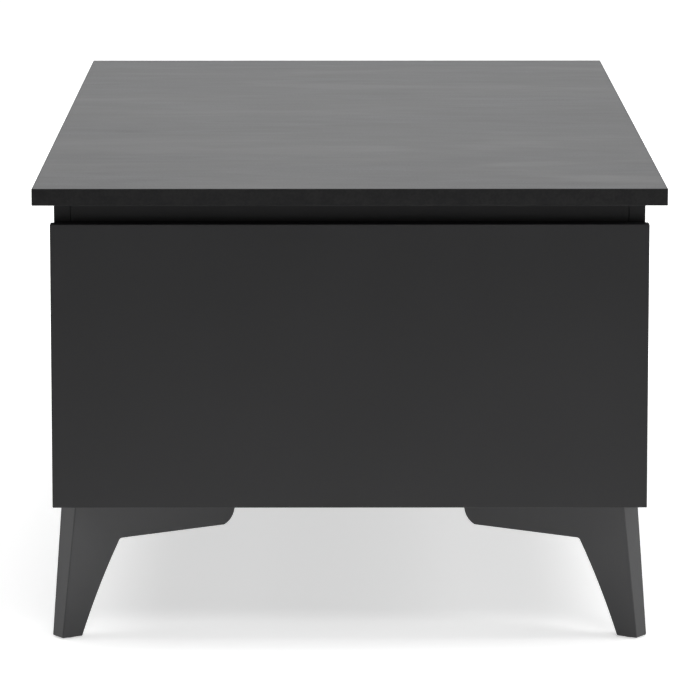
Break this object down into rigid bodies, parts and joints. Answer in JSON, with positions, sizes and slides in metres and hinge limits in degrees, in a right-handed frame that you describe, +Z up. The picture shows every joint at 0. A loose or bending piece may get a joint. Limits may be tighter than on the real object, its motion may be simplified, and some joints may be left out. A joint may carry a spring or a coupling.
{
  "type": "lift top coffee table",
  "caption": "Low rectangular coffee table with a storage box, an end drawer, splayed corner legs and a top that lifts on parallel arms.",
  "frame": {"origin": "on the floor, under the middle of the tabletop", "axes": "+Z up, +Y along the table away from the drawer end, +X across it towards the side the top lifts over"},
  "size_m": [0.6, 1.2, 0.44],
  "materials": {
    "slate_laminate": "matt laminate with a fine brushed-slate grain",
    "edge_band": "matt black edge band",
    "anthracite_foil": "smooth satin foil on chipboard",
    "anthracite_melamine": "fine matt melamine",
    "leg_lacquer": "satin lacquer on solid wood",
    "drawer_melamine": "matt grey melamine",
    "zinc_steel": "bright zinc plating",
    "black_steel": "black powder coat",
    "spring_steel": "oiled spring wire",
    "glide_plastic": "moulded plastic",
    "nylon": "natural nylon",
    "beech": "raw fluted beech",
    "bumper_rubber": "soft black bumper"
  },
  "bodies": {
    "carcass": {"base_rivets": "zinc_steel", "base_washers": "nylon", "bottom_panel": "anthracite_melamine", "cam_bolts": "zinc_steel", "cam_locks": "zinc_steel", "carcass_dowels": "beech", "drawer_bumpers": "bumper_rubber", "drawer_cover": "anthracite_melamine", "end_panel": "anthracite_foil", "end_panel_screws": "zinc_steel", "end_wall": "anthracite_melamine", "foot_glides": "glide_plastic", "front_rail": "anthracite_melamine", "leg_front_left": "leg_lacquer", "leg_front_right": "leg_lacquer", "leg_rear_left": "leg_lacquer", "leg_rear_right": "leg_lacquer", "leg_screws": "zinc_steel", "lid_bumpers": "bumper_rubber", "lift_base_far": "black_steel", "lift_base_near": "black_steel", "lift_base_screws": "zinc_steel", "lift_spring_far": "spring_steel", "lift_spring_near": "spring_steel", "partition": "anthracite_melamine", "runner_cabinet_left": "zinc_steel", "runner_cabinet_right": "zinc_steel", "runner_screws_cabinet": "zinc_steel", "side_panel_left": "anthracite_melamine", "side_panel_right": "anthracite_melamine", "spring_anchors": "zinc_steel", "stop_pins": "zinc_steel"},
    "drawer": {"drawer_back": "drawer_melamine", "drawer_bottom": "drawer_melamine", "drawer_box_screws": "zinc_steel", "drawer_front": "anthracite_foil", "drawer_front_screws": "zinc_steel", "drawer_inner_front": "drawer_melamine", "drawer_side_left": "drawer_melamine", "drawer_side_right": "drawer_melamine", "runner_drawer_left": "zinc_steel", "runner_drawer_right": "zinc_steel", "runner_screws_drawer": "zinc_steel"},
    "runner_middles": {"runner_middle_left": "zinc_steel", "runner_middle_right": "zinc_steel"},
    "front_arms": {"front_arm_near": "black_steel", "front_arm_far": "black_steel", "spring_pins": "zinc_steel"},
    "rear_arms": {"rear_arm_near": "black_steel", "rear_arm_far": "black_steel"},
    "lid": {"top_slab": "slate_laminate", "top_edging": "edge_band", "lid_bracket_near": "black_steel", "lid_bracket_far": "black_steel", "lid_bracket_screws": "zinc_steel", "lid_rivets": "zinc_steel", "lid_washers": "nylon"}
  },
  "joints": [
    {"name": "drawer_slide", "type": "slide", "parent": "carcass", "child": "drawer", "axis": [0, -1, 0], "range_m": [0, 0.38]},
    {"name": "runner_slide", "type": "slide", "parent": "carcass", "child": "runner_middles", "axis": [0, -1, 0], "range_m": [0, 0.19]},
    {"name": "lift_hinge", "type": "hinge", "parent": "carcass", "child": "front_arms", "pos_m": [0.15, 0, 0.394], "axis": [0, 1, 0], "range_deg": [0, 115], "deforming": ["lift_spring_near", "lift_spring_far"]},
    {"name": "rear_arm_hinge", "type": "hinge", "parent": "carcass", "child": "rear_arms", "pos_m": [0.06, 0, 0.366], "axis": [0, 1, 0], "range_deg": [0, 115]},
    {"name": "lid_hinge", "type": "hinge", "parent": "front_arms", "child": "lid", "pos_m": [-0.08, 0, 0.394], "axis": [0, 1, 0], "range_deg": [-115, 0]}
  ],
  "couplings": [
    {"joint": "runner_slide", "follows": "drawer_slide", "ratio": 0.5},
    {"joint": "rear_arm_hinge", "follows": "lift_hinge", "ratio": 1},
    {"joint": "lid_hinge", "follows": "lift_hinge", "ratio": -1}
  ]
}
